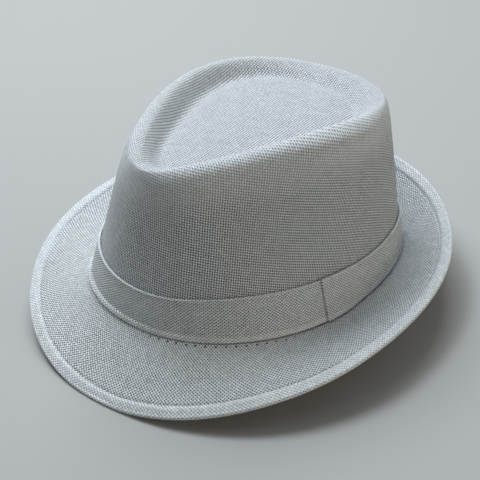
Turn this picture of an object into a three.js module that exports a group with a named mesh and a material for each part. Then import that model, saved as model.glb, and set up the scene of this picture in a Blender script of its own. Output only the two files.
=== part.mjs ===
import * as THREE from 'three';

// A cloth trilby lying on a level surface, in millimetres.
// The front of the hat faces -Y, the wearer's left is +X, and the surface is z = 0.
// An angle runs round the hat from the front (0) by the wearer's left (90) to the back (180).
// Every form is worked out level on the foot of the crown, and settle() then lays the hat down.

// Thickness of each piece's cloth, and the clearance between two pieces
const CROWN_CLOTH = 1.5;
const BRIM_CLOTH = 2.0;
const BAND_CLOTH = 1.2;
const GAP = 0.3;

// Ovals seen from above: half sizes, the place of the middle, how much narrower the front is than
// the back, and the power of the oval, where 2 is an ellipse and more is squarer
const FOOT = { halfWidth: 85, halfLength: 104, middle: 0, egg: -0.023, power: 2.28 };
const EDGE = { halfWidth: 126.4, halfLength: 129.6, middle: -10.6, egg: -0.028, power: 2.1 };
const RIDGE = { halfWidth: 57, halfLength: 86.4, middle: -6.8, egg: 0.425, power: 2 };

// Heights along those ovals: the mean, the rise from front to back, how much the sides stand over
// the front and back, and a third and fourth wave for the snap of the front and the set of the sides
const FOOT_HEIGHT = { mean: 0.2, backRise: 1.6, sideRise: 2.6, snap: 1.9, sideSet: -1.7 };
const EDGE_HEIGHT = { mean: 6.3, backRise: 33.4, sideRise: 4.6, snap: -2.8, sideSet: 0 };
const RIDGE_HEIGHT = { mean: 99.8, backRise: 5.4, sideRise: 3.2, snap: 0, sideSet: 0 };

// Crown wall: the share of its inward lean that is straight, and the power of its rounded shoulder
const LEAN = 0.74;
const SHOULDER = 3.9;

// Teardrop dent: how far its wall runs in from the ridge, the breadth of the ridge's rounding, and
// its floor, with the height at the middle, the slope up to the back and the swell in the middle
const DENT = { frontRun: 22, sideRun: 16, rounding: 1.3 };
const FLOOR = { middle: 2, height: 91.5, slope: 0.09, swell: 2.5 };

// Brim: the flange under the crown, the flat before the fold, the power of its curve, and its hem
const BRIM = { flange: 3.2, fold: 0.8, curve: 0.9, hemWidth: 8, hemExtra: 0.6 };

// Hat band: how high it stands on the foot, its rounded corners, and the lap of its end
const BAND_HEIGHT = { mean: 24.4, backRise: -0.2, sideRise: -0.7, snap: -1.3, sideSet: 0 };
const BAND_CORNER = 0.3;
const LAP = { start: 73, step: 0.4, length: 14, ramp: 12, thickness: 1.6, rise: 0.6 };

// How the hat lies: tilted back on its front edge and the back of its foot, raised and centred
const REST = { tilt: 7.13, lift: 18.1, forward: 9.2 };

// Steps round the hat, up the wall, in through the dent, over its floor and across the brim
const STEPS = { round: 60, wall: 10, dent: 6, floor: 2, brim: 8, hem: 2 };

const CLOTH_WHITE = 0xc3cbd1;

const radians = THREE.MathUtils.degToRad;
const lerp = THREE.MathUtils.lerp;

// Point of an oval at an angle, grown outward by a distance
function ovalPoint(oval, angle, grow = 0) {
  const side = Math.sin(angle);
  const front = Math.cos(angle);
  const sum = Math.abs(side) ** oval.power + Math.abs(front) ** oval.power;
  const scale = sum ** (-1 / oval.power);
  const x = (oval.halfWidth + grow) * side * scale * (1 - oval.egg * front * scale);
  const y = oval.middle - (oval.halfLength + grow) * front * scale;
  return new THREE.Vector3(x, y, 0);
}

// Height of an oval's outline at an angle
function heightAt(height, angle) {
  const wave = height.mean - height.backRise * Math.cos(angle) - height.sideRise * Math.cos(2 * angle);
  return wave + height.snap * Math.cos(3 * angle) + height.sideSet * Math.cos(4 * angle);
}

function outlinePoint(oval, height, angle, grow = 0) {
  return ovalPoint(oval, angle, grow).setZ(heightAt(height, angle));
}

// Outer face of the crown's wall, from its foot (0) to the crest of the ridge (1)
function wallPoint(angle, share) {
  const foot = outlinePoint(FOOT, FOOT_HEIGHT, angle, -BAND_CLOTH - GAP);
  const ridge = outlinePoint(RIDGE, RIDGE_HEIGHT, angle);
  const round = 1 - (1 - share ** SHOULDER) ** (1 / SHOULDER);
  const lean = LEAN * share + (1 - LEAN) * round;
  return new THREE.Vector3(
    lerp(foot.x, ridge.x, lean),
    lerp(foot.y, ridge.y, lean),
    lerp(foot.z + GAP, ridge.z, share),
  );
}

// Length of the dent's wall, seen from above, at an angle
function dentRun(angle) {
  return DENT.sideRun + (DENT.frontRun - DENT.sideRun) * Math.cos(angle) ** 4;
}

// Point of the crown's top at a share of the way in from the ridge to the middle of the floor
function topPoint(angle, inward) {
  const ridge = outlinePoint(RIDGE, RIDGE_HEIGHT, angle);
  const middle = new THREE.Vector3(0, FLOOR.middle, 0);
  const reach = Math.hypot(ridge.x, ridge.y - middle.y);
  const x = ridge.x * (1 - inward);
  const y = lerp(ridge.y, middle.y, inward);
  const swell = FLOOR.swell * (1 - (1 - inward) ** 2);
  const floor = FLOOR.height + FLOOR.slope * (y - middle.y) + swell;
  const along = Math.min(1, (inward * reach) / dentRun(angle)) ** DENT.rounding;
  const sunk = along * along * (3 - 2 * along);
  return new THREE.Vector3(x, y, lerp(ridge.z, floor, sunk));
}

// Upper face of the brim, from its fold at the foot (0) to its edge (1)
function brimPoint(angle, share) {
  const fold = outlinePoint(FOOT, FOOT_HEIGHT, angle, BRIM.fold);
  const edge = outlinePoint(EDGE, EDGE_HEIGHT, angle);
  return new THREE.Vector3(
    lerp(fold.x, edge.x, share),
    lerp(fold.y, edge.y, share),
    fold.z + (edge.z - fold.z) * share ** BRIM.curve,
  );
}

// Lays a point of the level hat down as it rests
function settle(point) {
  point.applyAxisAngle(new THREE.Vector3(1, 0, 0), -radians(REST.tilt));
  point.y += REST.forward;
  point.z += REST.lift;
  return point;
}

// Angles round the hat, with any extra ones in their places
function anglesRound(extra = []) {
  const even = Array.from({ length: STEPS.round }, (unused, i) => (i / STEPS.round) * 2 * Math.PI);
  return [...even, ...extra].sort((a, b) => a - b);
}

// Mesh through rings of points, where a ring of one point is a pole. A looped surface joins its
// last ring to its first.
function surface(rings, looped) {
  const positions = rings.flat().flatMap((point) => point.toArray());
  const starts = [];
  let count = 0;
  for (const ring of rings) {
    starts.push(count);
    count += ring.length;
  }
  const triangles = [];
  const spans = looped ? rings.length : rings.length - 1;
  for (let j = 0; j < spans; j++) {
    const next = (j + 1) % rings.length;
    const around = Math.max(rings[j].length, rings[next].length);
    for (let i = 0; i < around; i++) {
      const [low, lowNext] = [i, i + 1].map((k) => starts[j] + (k % rings[j].length));
      const [high, highNext] = [i, i + 1].map((k) => starts[next] + (k % rings[next].length));
      if (low !== lowNext) triangles.push(low, lowNext, highNext);
      if (high !== highNext) triangles.push(low, highNext, high);
    }
  }
  const geometry = new THREE.BufferGeometry();
  geometry.setAttribute('position', new THREE.Float32BufferAttribute(positions, 3));
  geometry.setIndex(triangles);
  return geometry;
}

// Rings moved along the surface's normals by a distance given for each ring and point
function moved(rings, distance) {
  const geometry = surface(rings, false);
  geometry.computeVertexNormals();
  const normals = geometry.getAttribute('normal');
  let count = 0;
  return rings.map((ring, j) =>
    ring.map((point, i) => {
      const normal = new THREE.Vector3().fromBufferAttribute(normals, count++);
      return point.clone().addScaledVector(normal, distance(j, i));
    }),
  );
}

// Rings brought back to the heights of the rings that they were moved from
function levelled(rings, source) {
  rings.forEach((ring, j) => ring.forEach((point, i) => point.setZ(source[j][i].z)));
  return rings;
}

function clothPiece(name, geometry) {
  const material = new THREE.MeshStandardMaterial({ color: CLOTH_WHITE, roughness: 0.85, metalness: 0 });
  const mesh = new THREE.Mesh(geometry, material);
  mesh.name = name;
  return mesh;
}

// Crown: one skin up the wall, over the ridge and down into the dent, open at the foot
function makeCrown() {
  const angles = anglesRound();
  const outer = [];
  for (let j = 0; j <= STEPS.wall; j++) {
    const share = 1 - (1 - j / STEPS.wall) ** 1.7;
    outer.push(angles.map((angle) => wallPoint(angle, share)));
  }
  const edgeOfFloor = (angle) => dentRun(angle) / Math.hypot(
    ovalPoint(RIDGE, angle).x,
    ovalPoint(RIDGE, angle).y - FLOOR.middle,
  );
  for (let j = 1; j <= STEPS.dent; j++) {
    outer.push(angles.map((angle) => topPoint(angle, (j / STEPS.dent) * edgeOfFloor(angle))));
  }
  for (let j = 1; j <= STEPS.floor; j++) {
    const share = j / (STEPS.floor + 1);
    outer.push(angles.map((angle) => topPoint(angle, lerp(edgeOfFloor(angle), 1, share))));
  }
  outer.push([topPoint(0, 1)]);
  const inner = moved(outer, () => -CROWN_CLOTH);
  levelled([inner[0]], outer);
  const rings = [...inner.reverse(), ...outer].map((ring) => ring.map(settle));
  return clothPiece('crown', surface(rings, false));
}

// Brim: doubled cloth from the flange under the crown out to the hem, flattened where it rests
function makeBrim() {
  const angles = anglesRound();
  const width = (angle) => brimPoint(angle, 0).distanceTo(brimPoint(angle, 1));
  const shares = [];
  for (let j = 0; j <= STEPS.hem; j++) {
    shares.push((angle) => 1 - (j / STEPS.hem) * (BRIM.hemWidth / width(angle)));
  }
  for (let j = 1; j <= STEPS.brim; j++) {
    shares.push((angle) => shares[STEPS.hem](angle) * (1 - j / STEPS.brim) ** 1.3);
  }
  const upper = shares.map((share) => angles.map((angle) => brimPoint(angle, share(angle))));
  const flange = (angle) => outlinePoint(FOOT, FOOT_HEIGHT, angle, -BRIM.flange);
  upper.push(angles.map(flange));
  const hemmed = (j) => BRIM_CLOTH + (j < STEPS.hem ? BRIM.hemExtra : 0);
  const lower = moved(upper, (j) => -hemmed(j));
  [...upper, ...lower].flat().forEach(settle);
  lower.forEach((ring, j) => ring.forEach((point, i) => {
    const pressed = Math.max(0, -point.z);
    const outer = j < shares.length - 2;
    point.z += pressed;
    upper[j][i].z += outer ? pressed : 0;
  }));
  return clothPiece('brim', surface([...upper, ...lower.reverse()], true));
}

// Hat band: a folded strip that leans with the wall, with its end lapped over its start
function makeBand() {
  const lapStart = radians(LAP.start);
  const angles = anglesRound([lapStart - radians(LAP.step), lapStart]);
  const lapAt = (angle) => {
    const along = ((angle - lapStart) * FOOT.halfWidth - LAP.length) / LAP.ramp;
    return angle < lapStart ? 0 : 1 - THREE.MathUtils.smoothstep(along, 0, 1);
  };
  const heightOf = (angle) => heightAt(BAND_HEIGHT, angle) + LAP.rise * lapAt(angle);
  const inset = [0, BAND_CORNER];
  const levels = [
    ...inset.map((step) => () => step),
    (angle) => heightOf(angle) / 2,
    ...inset.toReversed().map((step) => (angle) => heightOf(angle) - step),
  ];
  const wallAt = (angle, height) => {
    const rise = heightAt(RIDGE_HEIGHT, angle) - heightAt(FOOT_HEIGHT, angle) - GAP;
    return wallPoint(angle, height / rise);
  };
  const wall = levels.map((level) => angles.map((angle) => wallAt(angle, level(angle))));
  const faceDistance = (j, i) => {
    const corner = j === 0 || j === levels.length - 1 ? BAND_CORNER : 0;
    return GAP + BAND_CLOTH - corner + LAP.thickness * lapAt(angles[i]);
  };
  const outer = levelled(moved(wall, faceDistance), wall);
  const inner = levelled(moved(wall, () => GAP), wall).reverse();
  const rings = [...outer, ...inner].map((ring) => ring.map(settle));
  return clothPiece('hat_band', surface(rings, true));
}

const trilby = new THREE.Group();
trilby.name = 'trilby';
trilby.add(makeCrown(), makeBrim(), makeBand());

export default trilby;
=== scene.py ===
import math

import bmesh
import bpy
import numpy as np
from mathutils import Matrix, Vector


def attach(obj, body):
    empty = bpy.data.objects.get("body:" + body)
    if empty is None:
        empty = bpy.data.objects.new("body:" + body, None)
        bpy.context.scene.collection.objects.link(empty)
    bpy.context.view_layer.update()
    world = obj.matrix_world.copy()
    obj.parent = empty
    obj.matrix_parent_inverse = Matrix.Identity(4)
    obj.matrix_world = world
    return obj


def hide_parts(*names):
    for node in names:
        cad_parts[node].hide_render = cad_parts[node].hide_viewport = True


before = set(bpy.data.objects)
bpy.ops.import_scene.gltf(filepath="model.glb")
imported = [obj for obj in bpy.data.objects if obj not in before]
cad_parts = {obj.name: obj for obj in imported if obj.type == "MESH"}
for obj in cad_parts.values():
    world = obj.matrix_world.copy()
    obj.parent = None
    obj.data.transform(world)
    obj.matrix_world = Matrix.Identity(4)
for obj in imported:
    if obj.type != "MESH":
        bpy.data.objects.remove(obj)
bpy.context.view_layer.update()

# A woven cloth trilby lying on a level surface. Forms are worked out in millimetres, level on the
# foot of the crown, as the frame's own solids are, and settled() lays them down as the hat rests.
# Angles run round the hat from its front, by the wearer's left, to its back. They are in degrees in
# the tables, unless a comment says radians, and in radians in the functions, unless a name says
# degrees.
MM = 0.001

# Thickness of each piece's cloth, and the clearance between two pieces
CROWN_CLOTH = 1.5
BRIM_CLOTH = 2.0
BAND_CLOTH = 1.2
GAP = 0.3

# Ovals seen from above, and the heights along them
FOOT = dict(half_width=85.0, half_length=104.0, middle=0.0, egg=-0.023, power=2.28)
EDGE = dict(half_width=126.4, half_length=129.6, middle=-10.6, egg=-0.028, power=2.1)
RIDGE = dict(half_width=57.0, half_length=86.4, middle=-6.8, egg=0.425, power=2.0)
FOOT_HEIGHT = dict(mean=0.2, back_rise=1.6, side_rise=2.6, snap=1.9, side_set=-1.7)
EDGE_HEIGHT = dict(mean=6.3, back_rise=33.4, side_rise=4.6, snap=-2.8, side_set=0.0)
RIDGE_HEIGHT = dict(mean=99.8, back_rise=5.4, side_rise=3.2, snap=0.0, side_set=0.0)
BAND_HEIGHT = dict(mean=24.4, back_rise=-0.2, side_rise=-0.7, snap=-1.3, side_set=0.0)

# Crown wall, the dent's slope, and the floor of the dent
LEAN = 0.74
SHOULDER = 3.9
DENT = dict(front_run=22.0, side_run=16.0, rounding=1.1, ease=1.05)
DENT_FLOOR = dict(middle=2.0, height=91.5, slope=0.09, swell=2.5)

# Brim and its turned hem. The flange hidden under the crown counts as far in from the edge.
BRIM = dict(flange=3.2, fold=0.8, curve=0.9, hem_extra=0.6, floor_push=(0.3, 0.7))
HEM = dict(
    step=1.0, ridge=0.68, ridge_start=0.3, ridge_top=2.6, fall=0.63, fall_end=0.8, roll=1.25,
    groove=0.45, groove_width=0.7, under_groove=0.35, under_width=0.75,
)
FLANGE_INSET = 60.0

# Lap of the hat band over its own end, its folds and its slack
LAP = dict(
    start=73.0, length=14.0, ramp=12.0, thickness=1.3, rise=0.6, edge=(-0.15, 0.35),
    shift=0.63, shift_start=0.1, dense=1.0,
)
ROLL = dict(height=1.8, half=2.1, least=0.35, fullness=0.6, start=0.5)
TOP_FOLD = dict(rise=0.4, run=(1.8, 0.2))
SLACK = dict(belly=0.35, behind=0.05, waves=0.10, waves_round=9, phase=1.3, run=7)
FOLD_RUN = 1.9

# How the hat lies
REST = dict(tilt=7.13, lift=18.1, forward=9.2)

# Soft forms, each a row of its rise, its place and its spread. Forms across the cloth, and the tuck
# beside the lap, are placed in millimetres. Round the hat the rim's swell is placed in degrees,
# and the others in radians.
RIM_SWELL_ROUND = ((3.9, 36, 24), (7.2, 90, 28))
RIM_SWELL_ACROSS = dict(place=-8, spread_below=18, spread_above=8)
PRESSED_ROUND = ((1.0, -0.42, 0.36), (2.2, 2.45, 0.4))
PRESSED_ACROSS = ((-0.22, 6.5, 0.6), (0.12, 5.0, 0.9))
RIM_ROLL = ((0.4, 4, 3),)
CREASE = ((-1.2, -2.5, 5.5),)
BAND_ROLL_ROUND = ((1.85, -0.6, 0.8),)
LAP_TUCK = ((0.35, -0.15, 0.2),)

# Slow waves of the pressed cloth: one that stands, and slanted ones in rows of share, number of
# waves round the hat, phase and run, then their size on each piece and where they fade out
STANDING_WAVE = dict(waves_round=3, phase=0.7, run=23, start=1.1)
SLANTED_WAVES = ((0.6, 7, 2.1, 31), (0.35, 13, -0.4, -17))
CROWN_WAVES = dict(size=0.22, above_band=(2, 25), calm_floor=25)
BRIM_WAVES = dict(size=0.3, origin=50, fade=(45, 30))

# Rows and columns of the meshes, and how near points are to be joined
CROWN_GRID = dict(columns=289, wall=72, slope=36, floor=24, crowding=1.6)
BRIM_GRID = dict(columns=433, middle=45, hem=30, edge=13, crowding=1.15, inside_hem=3.0)
BAND_GRID = dict(columns=361, lap=29, foot=11, wall=26, fold=9, foot_height=4)
STITCH_GRID = dict(columns=1441, length=9, ring=8)
WELD = dict(join=0.002, thinnest=0.0001)

# How each cloth is cut from its weave. The panel's turn is in radians.
BIAS_ANGLE = 47.0
PANEL_RADIUS = 474.0
PANEL_TURN = 0.074
PANEL_SPREAD = dict(narrow=0.945, extra=0.13, place=80, run=18)
TIP_TURN = -5.0
TIP_SCALE = (0.82, 1.08)
BAND_STRETCH = (0.92, 1.20)

# Stitches of the hem, how uneven they are in length, along their row and beside it, and the
# needle holes along the foot of the band
HEM_STITCH = dict(
    inset=8.0, pitch=3.3, length=2.5, radius=0.24, dip=0.42, proud=(0.06, 0.10), strip=0.01,
    blunt=6, tip=0.02,
)
STITCH_UNEVEN = (0.06, 0.12, 0.08)
STITCH_SEED = 5
NEEDLE_HOLES = dict(
    outward=1.0, pitch=5.7, radius=0.8, clear=0.45, depth=1.2, first=(2, 10), last=(56, 68),
    uneven_round=1.4, uneven_out=0.5,
)

# Yarn: how its threads wander and thicken, in shares of a thread and millimetres of run
YARN = dict(
    wander=0.3, wander_run=21, slub=0.2, slub_run=7, open=0.37, edge=(0.8, 1.15),
    round=0.55, crossing=0.45, cloud_run=33,
)

# Layers of the noise that each unevenness reads, and how far apart in it two threads are
NOISE_LAYER = dict(warp_bend=3.7, weft_bend=9.1, warp_slub=1.0, weft_slub=4.0, cloud=2.2)
THREAD_STEP = dict(warp=7.31, weft=5.17, stitch=3.3)

# Lightness of the yarn: a base, and what each feature of the weave adds to it. Height makes raised
# yarn lighter and sunk yarn darker, a painted highlight and painted shade; warp_sheen is a painted
# sheen that lightens warp floats and darkens weft floats; slub, cloud and speckle are the yarn's own
# uneven tone.
TONE = dict(base=0.70, height=0.34, warp_sheen=0.07, slub=0.18, cloud=0.05)

# Cloths: the yarn's colour, the grey painted in the gaps as the shade between the threads, the
# distance between threads both ways, the depth of the relief, and how unevenly the crossings are
# tinted. All of them share one surface.
WHITE = (0.795, 0.815, 0.838)
PALE = (0.90, 0.925, 0.94)
BIAS_THREADS = (1.44, 1.46)
CLOTHS = dict(
    crown_weave=dict(yarn=WHITE, gap_shade_grey=0.015, threads=(1.31, 1.50), depth=0.4, uneven=0.08),
    brim_weave=dict(yarn=PALE, gap_shade_grey=0.06, threads=BIAS_THREADS, depth=0.55, uneven=0.15),
    band_weave=dict(yarn=PALE, gap_shade_grey=0.06, threads=BIAS_THREADS, depth=0.6, uneven=0.08),
    stitch_thread=dict(yarn=WHITE, gap_shade_grey=0.4, threads=(0.5, 0.5), depth=0.1, uneven=0.08),
)
SURFACE = dict(roughness=0.88, polish=0.1, sheen=0.12, sheen_roughness=0.6, gloss=0.25)

# The crown's top, and changes to the weave on parts of a piece: what is added to the share of its
# gaps that shows their painted shade, to its relief and to its lightness. On the wall the painted
# gap shade also spreads, and raised yarn is painted lighter and the rest darker, a painted grazing
# light. Over the crown's rim and along the band's folds the added lightness is a painted highlight.
TOP_CLOTH = dict(shaded_gaps=0.84, tone=-0.035)
# On the wall the raised yarn is painted lighter and the rest darker, a painted grazing light.
WALL_RELIEF_AND_SHADE = dict(fade=(-34, -14), shaded_gaps=0.16, spread_shade=0.6, relief=1.4, raised_highlight=0.25, tone=-0.03)
# Over the rim the lighter tone is a painted highlight.
RIM_RELIEF_AND_HIGHLIGHT = dict(rise=(-26, -10), fall=(-2, 5), shaded_gaps=-0.12, relief=-0.35, tone=0.02)
HEM_CLOTH = dict(fade=(6.6, 8.4), shaded_gaps=-0.7, relief=-0.45, tone=0.01)
# Along the band's folded edges the lighter tone is a painted highlight.
FOLD_RELIEF_AND_HIGHLIGHT = dict(foot=(2.2, 4.4), top=(0.4, 1.4), shaded_gaps=-0.5, relief=-0.3, tone=0.1)

# Softboxes round the hat, aimed at its foot: place and size in metres, watts and tint
COOL = (0.80, 0.90, 1.0)
WARM = (1.0, 0.90, 0.70)
SOFTBOXES = (
    ("top_softbox", (0, 0, 1.6), (0.9, 0.9), 1.5, COOL),
    ("left_softbox", (-0.75, 0.1, 1.35), (0.7, 0.7), 14.3, (0.84, 0.93, 1.0)),
    ("back_softbox", (-0.5, 0.65, 1.3), (0.9, 0.9), 12.2, (0.86, 0.95, 1.0)),
    ("front_softbox", (-1.35, -0.75, 0.5), (0.4, 0.4), 1.2, WARM),
    ("right_softbox", (1.35, 0.15, 0.3), (0.8, 0.45), 3.75, (1.0, 0.93, 0.76)),
    ("far_softbox", (0.7, 0.6, 1.3), (0.8, 0.8), 0.6, COOL),
)
LIGHT_AIM = (0, 0, 0.05)

# Light of the room, and the floor, which reaches far and lies just under the hat
ROOM = dict(tint=(0.94, 0.93, 0.9), strength=0.1)
STAGE = dict(reach=6000.0, drop=0.05, paint=(0.475, 0.465, 0.45), roughness=0.75)

# The photograph's view of the resting hat
VIEW = dict(
    azimuth=43.4, elevation=33.9, roll=-4.44, distance=747.7, target=(-9.8, 10.1, 24.9),
    lens=88.7, film=36.0, nearest=0.01,
)


def lerp(a, b, share):
    return a + (b - a) * share


def smoothstep(low, high, value):
    share = np.clip((value - low) / (high - low), 0, 1)
    return share * share * (3 - 2 * share)


def bump(value, middle, width):
    return np.exp(-(((value - middle) / width) ** 2))


def soft_forms(value, rows):
    """The sum of soft forms, each a row of its rise, its place and its spread."""
    return sum(rise * bump(value, place, spread) for rise, place, spread in rows)


def all_round(columns):
    return np.linspace(-math.pi, math.pi, columns)


def steps_to_one(count):
    """Even steps up to 1, without the 0 before them, as a column."""
    return np.linspace(0, 1, count + 1)[1:, None]


# Shapes shared with the frame's solids
def oval(shape, angle, grow=0.0):
    side, front = np.sin(angle), np.cos(angle)
    scale = (np.abs(side) ** shape["power"] + np.abs(front) ** shape["power"]) ** (-1 / shape["power"])
    x = (shape["half_width"] + grow) * side * scale * (1 - shape["egg"] * front * scale)
    y = shape["middle"] - (shape["half_length"] + grow) * front * scale
    return x, y


def height_at(height, angle):
    wave = height["mean"] - height["back_rise"] * np.cos(angle) - height["side_rise"] * np.cos(2 * angle)
    return wave + height["snap"] * np.cos(3 * angle) + height["side_set"] * np.cos(4 * angle)


def outline(shape, height, angle, grow=0.0):
    x, y = oval(shape, angle, grow)
    return np.stack([x, y, height_at(height, angle)], -1)


def wall_point(angle, share):
    foot = outline(FOOT, FOOT_HEIGHT, angle, -BAND_CLOTH - GAP)
    ridge = outline(RIDGE, RIDGE_HEIGHT, angle)
    rounded = 1 - (1 - share ** SHOULDER) ** (1 / SHOULDER)
    lean = LEAN * share + (1 - LEAN) * rounded
    return np.stack([
        lerp(foot[..., 0], ridge[..., 0], lean),
        lerp(foot[..., 1], ridge[..., 1], lean),
        lerp(foot[..., 2] + GAP, ridge[..., 2], share),
    ], -1)


def dent_run(angle):
    return lerp(DENT["side_run"], DENT["front_run"], np.cos(angle) ** 4)


def from_middle(angle):
    """The rim's place seen from the middle of the dent's floor."""
    x, y = oval(RIDGE, angle)
    return np.stack([x, y - DENT_FLOOR["middle"]], -1)


def reach_in(angle):
    return np.linalg.norm(from_middle(angle), axis=-1)


def top_point(angle, inward):
    ridge = outline(RIDGE, RIDGE_HEIGHT, angle)
    x = ridge[..., 0] * (1 - inward)
    y = lerp(ridge[..., 1], DENT_FLOOR["middle"], inward)
    swell = DENT_FLOOR["swell"] * (1 - (1 - inward) ** 2)
    floor = DENT_FLOOR["height"] + DENT_FLOOR["slope"] * (y - DENT_FLOOR["middle"]) + swell
    along = inward * reach_in(angle) / (DENT["ease"] * dent_run(angle))
    along = np.minimum(1, along) ** DENT["rounding"]
    sunk = along ** 3 * (10 - 15 * along + 6 * along * along)
    return np.stack([x, y, lerp(ridge[..., 2], floor, sunk)], -1)


def brim_point(angle, share):
    fold = outline(FOOT, FOOT_HEIGHT, angle, BRIM["fold"])
    edge = outline(EDGE, EDGE_HEIGHT, angle)
    return np.stack([
        lerp(fold[..., 0], edge[..., 0], share),
        lerp(fold[..., 1], edge[..., 1], share),
        lerp(fold[..., 2], edge[..., 2], share ** BRIM["curve"]),
    ], -1)


def brim_width(angle):
    return np.linalg.norm(brim_point(angle, 1.0) - brim_point(angle, 0.0), axis=-1)


def settled(points):
    tilt = math.radians(REST["tilt"])
    y = points[..., 1] * math.cos(tilt) + points[..., 2] * math.sin(tilt) + REST["forward"]
    z = points[..., 2] * math.cos(tilt) - points[..., 1] * math.sin(tilt) + REST["lift"]
    return np.stack([points[..., 0], y, z], -1)


def laid_on_floor(points, push=0.0):
    """Settled points, pushed up by what the floor presses in, and nowhere below the floor."""
    laid = settled(points)
    laid[..., 2] = np.maximum(laid[..., 2] + push, 0.0)
    return laid


# Sheets of points: rows run across the cloth and columns round the hat
def directions(points):
    """Unit vectors round the hat, across the rows, and out of the face."""
    tiny = 1e-12
    round_it = np.gradient(points, axis=1)
    round_it[:, 0] = round_it[:, -1] = points[:, 1] - points[:, -2]
    across = np.gradient(points, axis=0)
    round_it /= np.linalg.norm(round_it, axis=-1, keepdims=True) + tiny
    across /= np.linalg.norm(across, axis=-1, keepdims=True) + tiny
    normal = np.cross(round_it, across)
    normal /= np.linalg.norm(normal, axis=-1, keepdims=True) + tiny
    return round_it, across, normal


def lengths(points, axis):
    """Length along a sheet from its first row, or from its first column."""
    steps = np.linalg.norm(np.diff(points, axis=axis), axis=-1)
    start = np.zeros_like(np.take(steps, [0], axis=axis))
    return np.concatenate([start, np.cumsum(steps, axis=axis)], axis=axis)


def arc_round(ring, angles):
    """Length along one ring from the front, positive towards the wearer's left."""
    arc = lengths(ring[None], 1)[0]
    return arc - np.interp(0.0, angles, arc)


def turned(x, y, degrees):
    turn = math.radians(degrees)
    return x * math.cos(turn) - y * math.sin(turn), x * math.sin(turn) + y * math.cos(turn)


def rounded_edge(upper, lower, normal, across, rows, most=math.inf):
    """Rows that turn from one face over to the other, no further out across than a limit."""
    half = np.linalg.norm(upper - lower, axis=-1)[:, None] / 2
    bend = np.linspace(0, math.pi, rows)[:, None, None]
    middle = (upper + lower) / 2
    return middle + half * np.cos(bend) * normal + np.minimum(half, most) * np.sin(bend) * across


def as_sheet(points, weave, place, rim):
    """Points and their maps: the place in the weave, the lengths round and across the piece, and
    the distance in from its rim or edge with the angle in degrees. On the band the last map is
    the height above its foot and the distance down from its top."""
    flat = points[..., 0] * 0
    return points, [[part + flat for part in pair] for pair in (weave, place, rim)]


def picked(sheet, rows):
    """Some rows of a sheet."""
    points, maps = sheet
    return points[rows], [[part[rows] for part in pair] for pair in maps]


def flipped(sheet):
    """The sheet with its rows in the other order, so that its faces look the other way."""
    return picked(sheet, slice(None, None, -1))


def weld(mesh):
    """Joins the edges where sheets meet, and drops the faces with no area."""
    shape = bmesh.new()
    shape.from_mesh(mesh)
    bmesh.ops.remove_doubles(shape, verts=shape.verts, dist=WELD["join"] * MM)
    bmesh.ops.dissolve_degenerate(shape, edges=shape.edges, dist=WELD["thinnest"] * MM)
    shape.to_mesh(mesh)
    shape.free()


def cloth_object(name, sheets):
    """One welded mesh from sheets of points and their maps, all in millimetres."""
    points, faces = [], []
    maps = {"weave": [], "place": [], "rim": []}
    start = 0
    for sheet_points, sheet_maps in sheets:
        rows, columns = sheet_points.shape[:2]
        index = start + np.arange(rows * columns).reshape(rows, columns)
        quads = np.stack([index[:-1, :-1], index[:-1, 1:], index[1:, 1:], index[1:, :-1]], -1)
        faces.append(quads.reshape(-1, 4))
        points.append(sheet_points.reshape(-1, 3))
        for map_name, pair in zip(maps, sheet_maps):
            maps[map_name].append(np.stack(pair, -1).reshape(-1, 2))
        start += rows * columns
    faces = np.vstack(faces)
    mesh = bpy.data.meshes.new(name)
    mesh.from_pydata((np.vstack(points) * MM).tolist(), [], faces.tolist())
    for map_name, pairs in maps.items():
        layer = mesh.uv_layers.new(name=map_name)
        layer.uv.foreach_set("vector", np.vstack(pairs)[faces.ravel()].astype(np.float32).ravel())
    weld(mesh)
    mesh.polygons.foreach_set("use_smooth", [True] * len(mesh.polygons))
    piece = bpy.data.objects.new(name, mesh)
    bpy.context.scene.collection.objects.link(piece)
    return piece


def soft_waves(angle, along, size):
    """Slow unevenness of pressed cloth, in millimetres."""
    wave = STANDING_WAVE
    standing = np.sin(wave["waves_round"] * angle + wave["phase"])
    standing = standing * np.sin(along / wave["run"] + wave["start"])
    slanted = sum(
        share * np.sin(count * angle + phase + along / run) for share, count, phase, run in SLANTED_WAVES)
    return size * (standing + slanted)


# Crown
def crown_form(angles):
    """Level points from the foot, over the rim, to the middle of the top."""
    wall_shares = 1 - (1 - np.linspace(0, 1, CROWN_GRID["wall"])) ** CROWN_GRID["crowding"]
    to_floor = dent_run(angles) / reach_in(angles)
    return np.concatenate([
        wall_point(angles, wall_shares[:, None]),
        top_point(angles, steps_to_one(CROWN_GRID["slope"]) * to_floor),
        top_point(angles, lerp(to_floor, 1.0, steps_to_one(CROWN_GRID["floor"]))),
    ])


def crown_relief(angles, along, from_crest, from_crease):
    """Waves of the wall, two pressed lines in the dent's slope, and its rounded crease."""
    low, high = CROWN_WAVES["above_band"]
    above_band = smoothstep(BAND_HEIGHT["mean"] + low, BAND_HEIGHT["mean"] + high, along)
    calm = 1 - smoothstep(0, CROWN_WAVES["calm_floor"], from_crease)
    waves = soft_waves(angles, along, CROWN_WAVES["size"]) * above_band * calm
    pressed = soft_forms(angles, PRESSED_ROUND) * soft_forms(from_crest, PRESSED_ACROSS)
    return waves + pressed + soft_forms(from_crest, RIM_ROLL) + soft_forms(from_crease, CREASE)


def rim_swell(degrees, from_crest):
    """The fuller, rounder turn of the cloth over the rim on the wearer's left."""
    place = RIM_SWELL_ACROSS["place"]
    spread = np.where(
        from_crest < place, RIM_SWELL_ACROSS["spread_below"], RIM_SWELL_ACROSS["spread_above"])
    return soft_forms(degrees, RIM_SWELL_ROUND) * bump(from_crest, place, spread)


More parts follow.
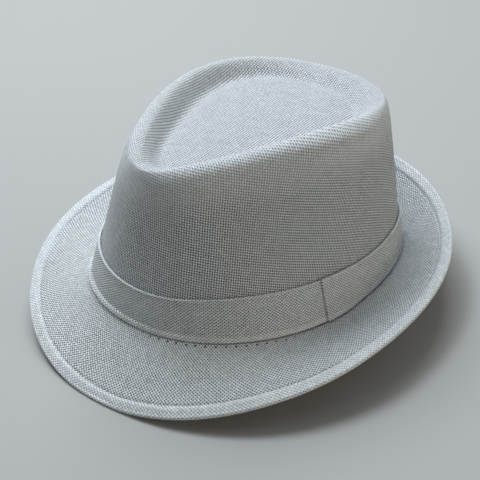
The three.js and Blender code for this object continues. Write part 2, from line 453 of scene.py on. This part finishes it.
def wide_in_front(x):
    """Position among the crown's upright threads, which stand wider apart round the front."""
    past = (x - PANEL_SPREAD["place"]) / PANEL_SPREAD["run"]
    extra = PANEL_SPREAD["extra"] * PANEL_SPREAD["run"] * np.log(np.cosh(past))
    return PANEL_SPREAD["narrow"] * x + extra


def panel_weave(around, along):
    """The wall's weave, cut as a panel that is bent into a ring."""
    turn = around / PANEL_RADIUS + PANEL_TURN
    radius = PANEL_RADIUS - along
    return wide_in_front(radius * np.sin(turn)), -radius * np.cos(turn)


def tip_weave(angles, level, from_crease, crease):
    """The top's weave: a flat turned grid on the dent's floor, which runs on up the slope."""
    outward = from_middle(angles) / reach_in(angles)[:, None]
    climb = np.maximum(0, -from_crease)[..., None]
    flat = np.where(climb > 0, level[crease, :, :2] + climb * outward, level[..., :2])
    x, y = turned(flat[..., 0], flat[..., 1], TIP_TURN)
    return TIP_SCALE[0] * x, TIP_SCALE[1] * y


def make_crown():
    angles = all_round(CROWN_GRID["columns"])
    degrees = np.degrees(angles)
    level = crown_form(angles)
    crest = CROWN_GRID["wall"] - 1
    crease = crest + CROWN_GRID["slope"]
    along = lengths(level, 0)
    from_crest, from_crease = along - along[crest], along - along[crease]
    normal = directions(level)[2]
    normal[-1] = (0, 0, 1)

    swell = rim_swell(degrees, from_crest)
    relief = crown_relief(angles, along, from_crest, from_crease)
    outer = level + normal * (relief + swell)[..., None]
    inner = level + normal * (swell - CROWN_CLOTH)[..., None]
    inner[0, :, 2] = outer[0, :, 2]

    around = arc_round(level[0], angles)
    panel = panel_weave(around, along)
    tip = tip_weave(angles, level, from_crease, crease)
    place, rim = (around, along), (from_crest, degrees)
    sheets = []
    for rows, weave in ((slice(None, crest + 1), panel), (slice(crest, None), tip)):
        sheets.append(picked(as_sheet(settled(outer), weave, place, rim), rows))
        sheets.append(flipped(picked(as_sheet(settled(inner), weave, place, rim), rows)))
    foot_maps = picked(sheets[0], [0, 0])[1]
    sheets.append((settled(np.stack([inner[0], outer[0]])), foot_maps))
    return cloth_object("crown_cloth_shell", sheets)


# Brim
def hem_relief(inset):
    """Rise of the brim's upper face at a distance in from its edge."""
    stitch = HEM_STITCH["inset"]
    top = stitch - HEM["ridge_top"]
    ridge = HEM["ridge"] * smoothstep(stitch + HEM["ridge_start"], top, inset)
    fall = HEM["fall"] * smoothstep(top, HEM["fall_end"], inset)
    return ridge - fall - HEM["groove"] * bump(inset, stitch, HEM["groove_width"])


def brim_thickness(inset):
    """Thickness of the doubled cloth, more over the hem and less in the groove of its stitches."""
    stitch = HEM_STITCH["inset"]
    doubled = smoothstep(stitch + HEM["step"], stitch - HEM["step"], inset)
    groove = HEM["under_groove"] * bump(inset, stitch, HEM["under_width"])
    return BRIM_CLOTH + BRIM["hem_extra"] * doubled - groove


def brim_waves(angles, inset):
    """Slow waves of the brim, which fade out in towards the crown."""
    waves = soft_waves(angles, BRIM_WAVES["origin"] - inset, BRIM_WAVES["size"])
    return waves * smoothstep(*BRIM_WAVES["fade"], inset)


def brim_shares(wide):
    """Shares from fold to edge of the brim's rows, denser at the fold and over the hem."""
    hem_start = HEM_STITCH["inset"] + BRIM_GRID["inside_hem"]
    hem = np.linspace(hem_start, HEM["roll"], BRIM_GRID["hem"])
    middle = np.linspace(0, 1, BRIM_GRID["middle"], endpoint=False) ** BRIM_GRID["crowding"]
    return np.concatenate([middle[:, None] * (1 - hem[0] / wide), 1 - hem[:, None] / wide])


def make_brim():
    angles = all_round(BRIM_GRID["columns"])
    wide = brim_width(angles)
    shares = brim_shares(wide)
    flange = outline(FOOT, FOOT_HEIGHT, angles, -BRIM["flange"])
    level = np.concatenate([flange[None], brim_point(angles, shares)])
    across, down = directions(level)[1:]
    normal = -down

    hidden = np.full_like(wide, FLANGE_INSET)
    inset = np.concatenate([hidden[None], (1 - shares) * wide])
    waves = brim_waves(angles, inset)
    upper = level + normal * (waves + hem_relief(inset))[..., None]
    lower = level + normal * (waves - brim_thickness(inset))[..., None]
    edge = rounded_edge(upper[-1], lower[-1], normal[-1], across[-1], BRIM_GRID["edge"])

    far_out = np.concatenate([0 * wide[None], shares])
    push = np.maximum(0, -settled(lower)[..., 2]) * smoothstep(*BRIM["floor_push"], far_out)
    along_middle = arc_round(brim_point(angles, 0.5), angles)
    along_fold = arc_round(level[1], angles)
    run = lengths(level, 0) - lengths(level, 0)[1]
    half_turn = math.pi * np.linalg.norm(upper[-1] - lower[-1], axis=-1) / 2
    over_edge = np.linspace(0, 1, BRIM_GRID["edge"])[:, None] * half_turn

    def sheet(points, outward, from_edge):
        weave = turned(along_middle, outward, BIAS_ANGLE)
        return as_sheet(points, weave, (along_fold, outward), (from_edge, np.degrees(angles)))

    foot = np.stack([laid_on_floor(lower)[0], laid_on_floor(upper)[0]])
    return cloth_object("brim_cloth", [
        flipped(sheet(laid_on_floor(upper, push), run, inset)),
        flipped(sheet(laid_on_floor(edge, push[-1]), run[-1] + over_edge, inset[-1] - over_edge)),
        sheet(laid_on_floor(lower, push), run, inset),
        flipped(sheet(foot, run[[0, 0]], inset[[0, 0]])),
    ])


# Hat band
def band_angles():
    """Even steps round the band, with denser ones at the end that lies on top."""
    dense = LAP["start"] + LAP["dense"] * np.linspace(-1, 1, BAND_GRID["lap"])
    return np.sort(np.concatenate([all_round(BAND_GRID["columns"]), np.radians(dense)]))


def band_rows(top):
    """Heights of the band's rows, denser at its foot, within its upper and lower folds."""
    fold = BAND_CLOTH / 2
    straight = top - 2 * fold
    dense = BAND_GRID["foot_height"]
    levels = fold + np.concatenate([
        np.linspace(0, dense, BAND_GRID["foot"], endpoint=False),
        np.linspace(dense, straight.min(), BAND_GRID["wall"]),
    ])
    heights = levels[:, None] * straight / straight.min()
    heights[0] = fold
    return heights


def band_relief(angles, heights, top):
    """The rolled foot, fuller in front, the fold along the top, and a little slack between."""
    off_roll = np.clip(np.abs(heights - ROLL["height"]) / ROLL["half"], 0, 1)
    fullness = (1 - off_roll ** 2) ** ROLL["fullness"] * smoothstep(0, ROLL["start"], heights)
    roll = (ROLL["least"] + soft_forms(angles, BAND_ROLL_ROUND)) * fullness
    fold = TOP_FOLD["rise"] * smoothstep(*TOP_FOLD["run"], top - heights)
    belly = SLACK["belly"] * np.sin(np.clip(heights / top, 0, 1) * math.pi)
    waves = np.sin(SLACK["waves_round"] * angles + SLACK["phase"]) * np.sin(heights / SLACK["run"])
    return roll + fold + belly + SLACK["waves"] * waves


def lap_share(past_lap):
    """1 where the band lies over its own end, with a sharp start and a long fade."""
    faded = smoothstep(LAP["length"], LAP["length"] + LAP["ramp"], past_lap)
    return smoothstep(*LAP["edge"], past_lap) * (1 - faded)


def make_band():
    angles = band_angles()
    past_lap = (angles - math.radians(LAP["start"])) * FOOT["half_width"]
    lapped = lap_share(past_lap)
    top = height_at(BAND_HEIGHT, angles) + LAP["rise"] * lapped
    rise = height_at(RIDGE_HEIGHT, angles) - height_at(FOOT_HEIGHT, angles) - GAP
    heights = band_rows(top)
    base = wall_point(angles, heights / rise)
    across, normal = directions(base)[1:]
    relief = band_relief(angles, heights, top) + LAP["thickness"] * lapped - soft_forms(past_lap, LAP_TUCK)
    outer = base + normal * (GAP + BAND_CLOTH + relief)[..., None]
    inner = base + normal * (GAP + SLACK["behind"])

    along = arc_round(base[len(base) // 2], angles)
    shift = np.where(past_lap > LAP["shift_start"], LAP["shift"] * BIAS_THREADS[0], 0.0)
    over_fold = np.linspace(0, 1, BAND_GRID["fold"])[:, None] * FOLD_RUN

    def folded(row, way):
        return rounded_edge(
            outer[row], inner[row], normal[row], way * across[row], BAND_GRID["fold"], BAND_CLOTH / 2)

    def sheet(points, level):
        weave = turned(BAND_STRETCH[0] * along + shift, BAND_STRETCH[1] * level, BIAS_ANGLE)
        return as_sheet(settled(points), weave, (along, level), (level, top - level))

    return cloth_object("hat_band_cloth", [
        sheet(outer, heights),
        sheet(folded(-1, 1), heights[-1] + over_fold),
        flipped(sheet(inner, heights)),
        flipped(sheet(folded(0, -1), heights[0] - over_fold)),
    ])


# Hem stitches
def round_thread():
    """Angles round a thread."""
    return np.linspace(0, 2 * math.pi, STITCH_GRID["ring"])


def stitch_line():
    """Points and normals along the row of stitches."""
    angles = all_round(STITCH_GRID["columns"])
    share = 1 - HEM_STITCH["inset"] / brim_width(angles)
    strip = brim_point(angles, share + HEM_STITCH["strip"] * np.array([[-1], [0], [1]]))
    return strip[1], -directions(strip)[2][1]


def stitch_tube(centre, up, lift, aside):
    """Rings of points round one thread, which dips into the cloth at both ends."""
    off_middle = np.abs(np.linspace(-1, 1, len(centre)))
    along = np.gradient(centre, axis=0)
    along /= np.linalg.norm(along, axis=-1, keepdims=True)
    beside = np.cross(along, up)
    rise = lift - HEM_STITCH["dip"] * off_middle ** 3
    centre = centre + up * rise[:, None] + beside * aside
    taper = np.maximum(1 - off_middle ** HEM_STITCH["blunt"], HEM_STITCH["tip"])
    radius = HEM_STITCH["radius"] * np.sqrt(taper)
    ring = round_thread()[None, :, None]
    out = np.cos(ring) * beside[:, None] + np.sin(ring) * up[:, None]
    return centre[:, None] + radius[:, None, None] * out


def make_stitches():
    """Short rounded threads on both faces of the hem, none of them below the floor. The length
    along their row and the angle round them serve as all three maps."""
    line, normal = stitch_line()
    arc = lengths(line[None], 1)[0]
    count = int(round(arc[-1] / HEM_STITCH["pitch"]))
    starts = (np.arange(count) + 0.5) * arc[-1] / count
    uneven = np.random.default_rng(STITCH_SEED).uniform(-1, 1, (count, 3)) * STITCH_UNEVEN
    upper_lift = HEM_STITCH["proud"][0] - HEM["groove"]
    lower_lift = HEM_STITCH["proud"][1] - HEM["under_groove"] + BRIM_CLOTH + BRIM["hem_extra"] / 2
    steps = np.linspace(-0.5, 0.5, STITCH_GRID["length"])

    def follow(values, at):
        return np.stack([np.interp(at % arc[-1], arc, part) for part in values.T], -1)

    sheets = []
    for side, lift in ((1, upper_lift), (-1, lower_lift)):
        for start, (longer, later, aside) in zip(starts, uneven):
            at = start + later + steps * HEM_STITCH["length"] * (1 + longer)
            laid = settled(stitch_tube(follow(line, at), side * follow(normal, at), lift, aside))
            laid[..., 2] += max(0.0, -float(laid[..., 2].min()))
            along_and_round = (at[:, None], round_thread()[None])
            sheets.append(as_sheet(laid, *[along_and_round] * 3))
    return cloth_object("hem_stitches", sheets)


# Shader maps written as expressions
class Wire:
    """A value in a material: arithmetic on it adds Math nodes."""

    def __init__(self, finish, socket):
        self.finish = finish
        self.socket = socket

    def math(self, operation, *others):
        values = dict(enumerate((self, *others)))
        return self.finish.node("ShaderNodeMath", {"operation": operation}, values)

    def __add__(self, other):
        return self.math("ADD", other)

    def __radd__(self, other):
        return self + other

    def __sub__(self, other):
        return self.math("SUBTRACT", other)

    def __rsub__(self, other):
        return self * -1 + other

    def __mul__(self, other):
        return self.math("MULTIPLY", other)

    def __rmul__(self, other):
        return self * other

    def __truediv__(self, other):
        return self.math("DIVIDE", other)

    def __pow__(self, other):
        return self.math("POWER", other)

    def above(self, other):
        return self.math("MAXIMUM", other)

    def size(self):
        return self.math("ABSOLUTE")

    def floor(self):
        return self.math("FLOOR")

    def fraction(self):
        return self.math("FRACT")

    def sine(self):
        return self.math("SINE")

    def cosine(self):
        return self.math("COSINE")

    def root(self):
        return self.above(0.0).math("SQRT")

    def eased(self, low, high):
        """0 below low and 1 above high, with a smooth way between."""
        return self.finish.node("ShaderNodeMapRange", {"interpolation_type": "SMOOTHSTEP"}, {
            "Value": self, "From Min": low, "From Max": high})


class Finish:
    """A material being put together."""

    def __init__(self, name):
        self.material = bpy.data.materials.new(name)
        self.material.use_nodes = True
        self.tree = self.material.node_tree
        self.shader = next(n for n in self.tree.nodes if n.type == "BSDF_PRINCIPLED")

    def plug(self, socket, value):
        if isinstance(value, Wire):
            self.tree.links.new(value.socket, socket)
        else:
            socket.default_value = value

    def node(self, kind, settings, values, output=0):
        made = self.tree.nodes.new(kind)
        for name, value in settings.items():
            setattr(made, name, value)
        for key, value in values.items():
            self.plug(made.inputs[key], value)
        return Wire(self, made.outputs[output])

    def map(self, name):
        """The two values of a map, as as_sheet() gives them."""
        uv = self.node("ShaderNodeUVMap", {"uv_map": name}, {})
        return [self.node("ShaderNodeSeparateXYZ", {}, {"Vector": uv}, axis) for axis in "XY"]

    def vector(self, x, y, z=0.0):
        return self.node("ShaderNodeCombineXYZ", {}, {"X": x, "Y": y, "Z": z})

    def noise(self, x, y, z=0.0, detail=1.0):
        """Noise about 0, half a unit each way at most."""
        values = {"Vector": self.vector(x, y, z), "Scale": 1.0, "Detail": detail, "Roughness": 0.5}
        return self.node("ShaderNodeTexNoise", {"noise_dimensions": "3D"}, values, "Fac") - 0.5

    def speckle(self, x, y):
        """An even random value about 0 for each pair of whole numbers."""
        values = {"Vector": self.vector(x, y)}
        return self.node("ShaderNodeTexWhiteNoise", {"noise_dimensions": "2D"}, values, "Value") - 0.5

    def blend(self, factor, first, second):
        return self.node("ShaderNodeMix", {"data_type": "RGBA"}, {0: factor, 6: first, 7: second}, 2)

    def set(self, **values):
        for name, value in values.items():
            self.plug(self.shader.inputs[name.replace("_", " ").title().replace("Ior", "IOR")], value)


def colour(red, green, blue):
    return (red, green, blue, 1.0)


# Cloth finishes
def thread(position, slub):
    """Roundness and cover across one set of threads, at a position counted in threads."""
    off_middle = (position.fraction() - 0.5).size() * 2
    ratio = off_middle / (1 - YARN["open"] + slub * YARN["slub"])
    return (1 - ratio * ratio).root(), 1 - ratio.eased(*YARN["edge"])


def plain_weave(finish, threads, uneven):
    """Height, the gaps that take painted shade, and lightness of a weave of uneven yarn; the lightness
    holds a painted highlight and shade from the height and a painted sheen on the warp floats.
    """
    across, down = finish.map("weave")
    layer, slow, slub_run = NOISE_LAYER, YARN["wander_run"], YARN["slub_run"]
    warp_bend = finish.noise(across / slow, down / slow, layer["warp_bend"])
    weft_bend = finish.noise(across / slow, down / slow, layer["weft_bend"])
    warp = across / threads[0] + warp_bend * YARN["wander"]
    weft = down / threads[1] + weft_bend * YARN["wander"]
    warp_index, weft_index = warp.floor(), weft.floor()
    warp_step, weft_step = warp_index * THREAD_STEP["warp"], weft_index * THREAD_STEP["weft"]
    warp_slub = finish.noise(warp_step, down / slub_run, layer["warp_slub"], detail=2.0)
    weft_slub = finish.noise(weft_step, across / slub_run, layer["weft_slub"], detail=2.0)
    warp_round, warp_cover = thread(warp, warp_slub)
    weft_round, weft_cover = thread(weft, weft_slub)
    over = (weft * math.pi).sine() * (warp_index * math.pi).cosine()
    under = (warp * math.pi).sine() * (weft_index * math.pi).cosine()
    warp_height = (warp_round * YARN["round"] + over * YARN["crossing"]) * warp_cover
    weft_height = (weft_round * YARN["round"] - under * YARN["crossing"]) * weft_cover
    height = warp_height.above(weft_height).above(0.0)
    far = YARN["cloud_run"]
    cloud = finish.noise(across / far, down / far, layer["cloud"], detail=2.0)
    # Raised yarn is painted lighter and sunk yarn darker, and warp floats lighter than weft floats:     painted highlight, shade and sheen.
    tone = TONE["base"] + height * TONE["height"] + (warp_height - weft_height) * TONE["warp_sheen"]
    tone = tone + (warp_slub + weft_slub) * TONE["slub"] + cloud * TONE["cloud"]
    tone = tone + finish.speckle(warp_index, weft_index) * uneven
    return height, 1 - warp_cover.above(weft_cover), tone


def wall_shade_and_rim_light(finish, shaded_gaps, relief, tone):
    """Painted grazing light on the crown's wall, with spread gap shade, stronger relief and raised yarn
    painted lighter; flatter relief over its rim, with less gap shade and a painted highlight.
    """
    wall, rim = WALL_RELIEF_AND_SHADE, RIM_RELIEF_AND_HIGHLIGHT
    from_crest = finish.map("rim")[0]
    in_wall = 1 - from_crest.eased(*wall["fade"])
    on_rim = from_crest.eased(*rim["rise"]) * (1 - from_crest.eased(*rim["fall"]))
    # How strongly the gaps take their painted shade: stronger on the wall, weaker over the rim.
    strength = TOP_CLOTH["shaded_gaps"] + in_wall * wall["shaded_gaps"] + on_rim * rim["shaded_gaps"]
    shaded_gaps = (shaded_gaps ** (1 - in_wall * wall["spread_shade"])) * strength
    # On the wall raised yarn is painted lighter and the rest darker, a painted grazing light; over the     rim the tone is lighter, a painted highlight.
    tone = tone + TOP_CLOTH["tone"] + in_wall * (relief * wall["raised_highlight"] + wall["tone"])
    tone = tone + on_rim * rim["tone"]
    return shaded_gaps, relief * (1 + in_wall * wall["relief"] + on_rim * rim["relief"]), tone


def closer(part, cloth, shaded_gaps, relief, tone):
    """Closer, flatter cloth on one part of a piece, with less gap shade and a lighter tone; on the
    band's folds the lighter tone is a painted highlight.
    """
    shaded_gaps = shaded_gaps * (1 + part * cloth["shaded_gaps"])
    return shaded_gaps, relief * (1 + part * cloth["relief"]), tone + part * cloth["tone"]


def needle_holes(finish):
    """1 in each needle hole along the foot of the band, from the front towards the wearer's left."""
    around, outward = finish.map("place")
    step = around / NEEDLE_HOLES["pitch"]
    sway = finish.noise(step.floor() * THREAD_STEP["stitch"], 0.5)
    off_round = (step.fraction() - 0.5) * NEEDLE_HOLES["pitch"] + sway * NEEDLE_HOLES["uneven_round"]
    off_out = outward - NEEDLE_HOLES["outward"] + sway * NEEDLE_HOLES["uneven_out"]
    apart = (off_round * off_round + off_out * off_out).root() / NEEDLE_HOLES["radius"]
    degrees = finish.map("rim")[1]
    in_front = degrees.eased(*NEEDLE_HOLES["first"]) * (1 - degrees.eased(*NEEDLE_HOLES["last"]))
    return (1 - apart.eased(NEEDLE_HOLES["clear"], 1.0)) * in_front


def holes_and_hem(finish, shaded_gaps, relief, tone):
    """Needle holes along the foot of the band, and the closer cloth of the turned hem."""
    in_hem = 1 - finish.map("rim")[0].eased(*HEM_CLOTH["fade"])
    shaded_gaps, relief, tone = closer(in_hem, HEM_CLOTH, shaded_gaps, relief, tone)
    hole = needle_holes(finish)
    # The needle holes are real; their darkness is the gaps' painted shade.
    return shaded_gaps.above(hole), relief - hole * NEEDLE_HOLES["depth"], tone


def folded_edge_highlight(finish, shaded_gaps, relief, tone):
    """The closer cloth along the folded edges of the band, lighter there as a painted highlight."""
    above_foot, below_top = finish.map("rim")
    at_foot = 1 - above_foot.eased(*FOLD_RELIEF_AND_HIGHLIGHT["foot"])
    at_top = 1 - below_top.eased(*FOLD_RELIEF_AND_HIGHLIGHT["top"])
    # Lighter along the folds: a painted highlight.
    return closer(at_foot.above(at_top), FOLD_RELIEF_AND_HIGHLIGHT, shaded_gaps, relief, tone)


def cloth_finish(name, change):
    """The material of a woven cloth, with what changes over its piece."""
    cloth = CLOTHS[name]
    finish = Finish(name)
    height, shaded_gaps, tone = plain_weave(finish, cloth["threads"], cloth["uneven"])
    relief = height
    if change:
        shaded_gaps, relief, tone = change(finish, shaded_gaps, relief, tone)
    bright = finish.node("ShaderNodeVectorMath", {"operation": "SCALE"}, {0: cloth["yarn"], "Scale": tone})
    # The gaps are painted dark grey as the shade down between the threads.
    shade_grey = cloth["gap_shade_grey"]
    shade = finish.blend(shaded_gaps, bright, colour(shade_grey, shade_grey, shade_grey))
    normal = finish.node("ShaderNodeBump", {}, {
        "Strength": 1.0, "Distance": cloth["depth"] * MM, "Height": relief})
    roughness = SURFACE["roughness"] - height * SURFACE["polish"]
    finish.set(base_color=shade, roughness=roughness, normal=normal)
    finish.set(sheen_weight=SURFACE["sheen"], sheen_roughness=SURFACE["sheen_roughness"])
    finish.set(specular_ior_level=SURFACE["gloss"])
    return finish.material


# Floor, lights and camera
def stage_floor():
    reach, low = STAGE["reach"] * MM, -STAGE["drop"] * MM
    corners = [(x * reach, y * reach, low) for x, y in ((-1, -1), (1, -1), (1, 1), (-1, 1))]
    mesh = bpy.data.meshes.new("studio_floor")
    mesh.from_pydata(corners, [], [(0, 1, 2, 3)])
    floor = bpy.data.objects.new("studio_floor", mesh)
    bpy.context.scene.collection.objects.link(floor)
    paint = Finish("pale_floor")
    paint.set(base_color=colour(*STAGE["paint"]), roughness=STAGE["roughness"])
    floor.data.materials.append(paint.material)


def softbox(name, place, size, watts, tint):
    light = bpy.data.lights.new(name, "AREA")
    light.shape = "RECTANGLE"
    light.size, light.size_y = size
    light.energy = watts
    light.color = tint
    lamp = bpy.data.objects.new(name, light)
    lamp.location = place
    lamp.rotation_mode = "QUATERNION"
    lamp.rotation_quaternion = (Vector(LIGHT_AIM) - Vector(place)).to_track_quat("-Z", "Y")
    bpy.context.scene.collection.objects.link(lamp)


def light_room():
    for row in SOFTBOXES:
        softbox(*row)
    world = bpy.data.worlds.new("room_light")
    world.use_nodes = True
    background = world.node_tree.nodes["Background"]
    background.inputs["Color"].default_value = colour(*ROOM["tint"])
    background.inputs["Strength"].default_value = ROOM["strength"]
    bpy.context.scene.world = world
    bpy.context.scene.view_settings.view_transform = "Standard"


def aim_camera():
    azimuth, elevation, roll = (math.radians(VIEW[k]) for k in ("azimuth", "elevation", "roll"))
    back = Vector((
        math.sin(azimuth) * math.cos(elevation),
        -math.cos(azimuth) * math.cos(elevation),
        math.sin(elevation),
    ))
    lens = bpy.data.cameras.new("photo_view")
    lens.sensor_width = VIEW["film"]
    lens.lens = VIEW["lens"]
    lens.clip_start = VIEW["nearest"]
    camera = bpy.data.objects.new("photo_view", lens)
    place = Vector(VIEW["target"]) * MM + back * VIEW["distance"] * MM
    upright = (-back).to_track_quat("-Z", "Y").to_matrix()
    camera.matrix_world = Matrix.Translation(place) @ (upright @ Matrix.Rotation(roll, 3, "Z")).to_4x4()
    bpy.context.scene.collection.objects.link(camera)
    bpy.context.scene.camera = camera


aim_camera()
light_room()
stage_floor()

# What makes each piece, its cloth and what changes over it, the solid it takes the place of, and
# its slot
PIECES = (
    (make_crown, "crown_weave", wall_shade_and_rim_light, "crown", "crown_cloth"),
    (make_brim, "brim_weave", holes_and_hem, "brim", "brim_cloth"),
    (make_band, "band_weave", folded_edge_highlight, "hat_band", "band_cloth"),
    (make_stitches, "stitch_thread", None, None, "brim_cloth"),
)
for make, cloth_name, change, node, slot in PIECES:
    piece = make()
    piece.data.materials.append(cloth_finish(cloth_name, change))
    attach(piece, "root")
    if node:
        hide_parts(node)
